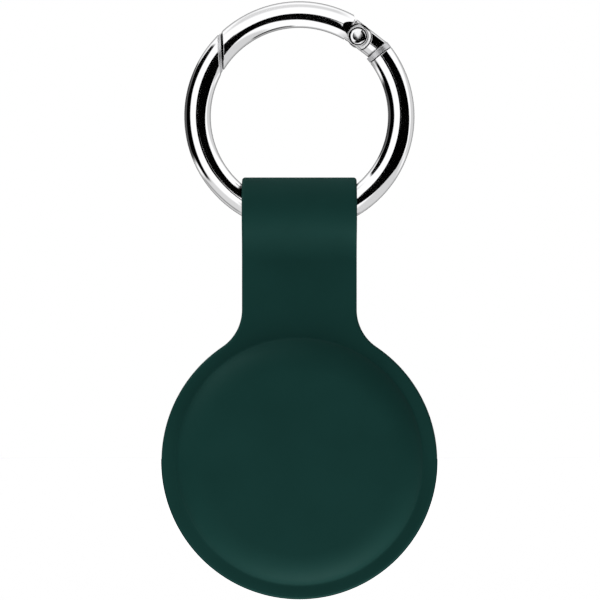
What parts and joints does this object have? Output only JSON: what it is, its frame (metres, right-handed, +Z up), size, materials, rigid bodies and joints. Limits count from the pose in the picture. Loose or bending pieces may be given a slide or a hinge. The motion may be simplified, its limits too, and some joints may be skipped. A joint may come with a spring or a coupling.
{
  "type": "tracker tag holder",
  "caption": "Silicone sleeve with a round pocket for a coin-shaped tracker tag, a flat neck and a loop, hanging on a chromed O-ring with a sprung hinged gate.",
  "frame": {"origin": "centre of the ring's eye", "axes": "+Z up, from the pocket towards the ring; -Y the front, the closed side of the pocket; +Y the back, with the pocket's mouth"},
  "size_m": [0.04, 0.0108, 0.0868],
  "materials": {
    "silicone": "matte moulded silicone, deep green",
    "ring_chrome": "polished plating",
    "rivet_steel": "polished, slightly darker",
    "inner_steel": "drawn and turned"
  },
  "bodies": {
    "ring": {"ring_frame": "ring_chrome"},
    "gate": {"ring_gate": "ring_chrome", "hinge_rivet": "rivet_steel", "gate_spring": "inner_steel"},
    "plunger": {"spring_plunger": "inner_steel"},
    "holder": {"silicone_sleeve": "silicone"}
  },
  "joints": [
    {"name": "gate_hinge", "type": "hinge", "parent": "ring", "child": "gate", "pos_m": [0.0085, 0, 0.01153], "axis": [0, -1, 0], "range_deg": [0, 40], "stiffness_Nm_per_rad": 0.086, "springref_deg": -40.11},
    {"name": "plunger_slide", "type": "slide", "parent": "gate", "child": "plunger", "axis": [-0.8988, 0, 0.4384], "range_m": [0, 0.00043], "deforming": ["gate_spring"]},
    {"name": "holder_swing", "type": "hinge", "parent": "ring", "child": "holder", "pos_m": [0, 0, -0.01342], "axis": [1, 0, 0], "range_deg": [-155, 155]}
  ],
  "couplings": [
    {"joint": "plunger_slide", "follows": "gate_hinge", "m_per_rad": 0.0006}
  ]
}
